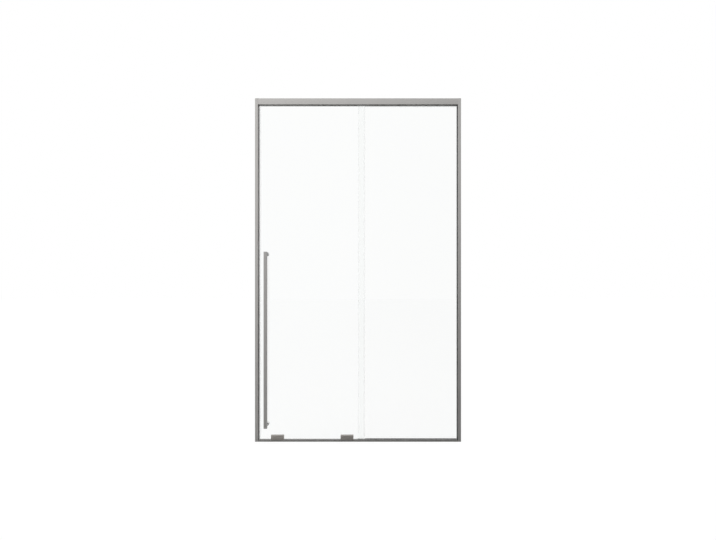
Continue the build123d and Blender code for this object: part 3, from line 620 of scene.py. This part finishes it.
turnedPieces("carriageBolts", "carriage_bolts", boltFeet(carriage["boltSeat"]), (0, -1, 0),
             socketScrew(0.0045, 0.0035, bolt, 0.0175, 0.0017, 0.002))
turnedPieces("carriageWashers", "carriage_washers", boltFeet(carriage["boltSeat"]), (0, 1, 0),
             washerRings(bolt, 0.0065, 0.001), True)
turnedPieces("carriageNuts", "carriage_nuts", boltFeet(carriage["nutFoot"]), (0, 1, 0), [
    (0, bolt), (0, 0.0040), (0.0003, 0.0046, "hex"), (0.0034, 0.0046, "hex"),
    (0.004, 0.0040), (0.004, bolt),
], True)
turnedPieces("rollerAxles", "roller_axles", rollerFeet(carriage["axleFoot"]), (0, 1, 0), [
    (0, 0.0022), (0.0003, 0.0025), (0.0108, 0.0025), (0.0108, 0.0036),
    (0.0112, 0.0036), (0.0116, 0.0030), (0.0118, 0.0018),
])
turnedPieces("axleWashers", "axle_washers", rollerFeet(carriage["axleWasherFoot"]), (0, 1, 0),
             washerRings(0.0025, 0.0045, 0.0005), True)
turnedPieces("bearingInnerRings", "bearing_inner_rings", rollerFeet(carriage["innerRingFoot"]), (0, 1, 0), [
    (0, 0.0025), (0, 0.0033), (0.0002, 0.0035), (0.0076, 0.0035), (0.0078, 0.0033), (0.0078, 0.0025),
], True)

tyre, bearing, width = carriage["tyre"], carriage["bearing"], carriage["tyreWidth"]
grooveWidth, grooveDepth = 0.0022, tyre - carriage["tread"]
turns = [math.pi * step / 8 for step in range(9)]
tread = [(width / 2 - grooveWidth * math.cos(turn), tyre - grooveDepth * math.sin(turn)) for turn in turns]
tyreRings = [
    (0, bearing), (0, 0.0097), (0.0005, 0.0099), (0.0005, 0.0116), (0, 0.0118), (0, 0.0126), (0.0004, tyre),
    *tread, (width - 0.0004, tyre), (width, 0.0126), (width, 0.0118), (width - 0.0005, 0.0116),
    (width - 0.0005, 0.0099), (width, 0.0097), (width, bearing),
]
bearingRings = [
    (0.0002, bearing), (0.0058, bearing), (0.006, 0.0078), (0.006, 0.0069), (0.0057, 0.0067),
    (0.0057, 0.0041), (0.0054, 0.0037), (0.0006, 0.0037), (0.0003, 0.0041), (0.0003, 0.0067),
    (0, 0.0069), (0, 0.0078),
]
tyreFeet = rollerFeet(carriage["tyreFoot"])
bearingFeet = rollerFeet(carriage["bearingFoot"])
for number in (1, 2, 3, 4):
    turnedPieces(f"tyre{number}", f"roller_tyre_{number}", [tyreFeet[number - 1]], (0, 1, 0),
                 tyreRings, True, 64)
    turnedPieces(f"bearing{number}", f"roller_bearing_{number}", [bearingFeet[number - 1]], (0, 1, 0),
                 bearingRings, True)
print("carriages and rollers made")

# screws of the guides, the stops and the frame, and the stops' bumpers
screws = {
    "guideReach": 0.025,
    "guideHeight": 0.027,
    "guideSeat": -0.002,
    "stops": (-0.5340, 0.4973),
    "stopHeight": 2.013,
    "stopSeat": -0.0039,
    "locks": (0.196, 1.016, 1.836),
    "lockAcross": 0.60535,
    "lockSeat": 0.025,
    "head": 0.0034,
    "rise": 0.0025,
    "shank": 0.0021,
    "corners": ((-0.0195, 2.0265), (0.0195, 2.0265), (-0.0195, 0.00525), (-0.0005, 0.00525)),
    "cornerSeat": 0.5931,
    "pocketSeat": 0.6021,  # where a corner screw goes in behind the glazing pocket
    "cornerTip": 0.5691,
}
bumpers = {
    "faces": ((-0.525, 1), (0.4883, -1)),  # where each stands, and which way it points
    "depth": -0.0004,
}
head, rise, shank = screws["head"], screws["rise"], screws["shank"]
guides = [(across, screws["guideSeat"], screws["guideHeight"]) for across in bothSides(screws["guideReach"])]
turnedPieces("guideScrews", "guide_screws", guides, (0, 1, 0),
             socketScrew(0.0045, 0.0025, bolt, 0.022, 0.0017, 0.002))
stops = [(across, screws["stopSeat"], screws["stopHeight"]) for across in screws["stops"]]
turnedPieces("stopScrews", "stop_screws", stops, (0, -1, 0), crossScrew(head, rise, shank, 0.0139))
lockXs = [side * screws["lockAcross"] for side in (-1, 1)]
locks = [(across, screws["lockSeat"], height) for across in lockXs for height in screws["locks"]]
turnedPieces("lockScrews", "lock_screws", locks, (0, 1, 0), crossScrew(head, rise, shank, 0.005))
bm = bmesh.new()
for side in (-1, 1):
    for depth, height in screws["corners"]:
        seat = screws["pocketSeat"] if side > 0 and depth > 0.01 else screws["cornerSeat"]
        rings = crossScrew(head, rise, shank, seat - screws["cornerTip"])
        turned(bm, (side * seat, depth, height), (side, 0, 0), rings)
addPiece("cornerScrews", bm, "corner_screws")
bm = bmesh.new()
for face, side in bumpers["faces"]:
    turned(bm, (face, bumpers["depth"], carriage["rollerHeight"]), (side, 0, 0), [
        (0, 0.0055), (0.0003, 0.006), (0.0009, 0.006), (0.0012, 0.0056), (0.0015, 0.0056),
        (0.0018, 0.006), (0.0024, 0.006), (0.0028, 0.0056), (0.003, 0.0046),
    ])
addPiece("stopBumpers", bm, "stop_bumpers")
print("screws and stops made")
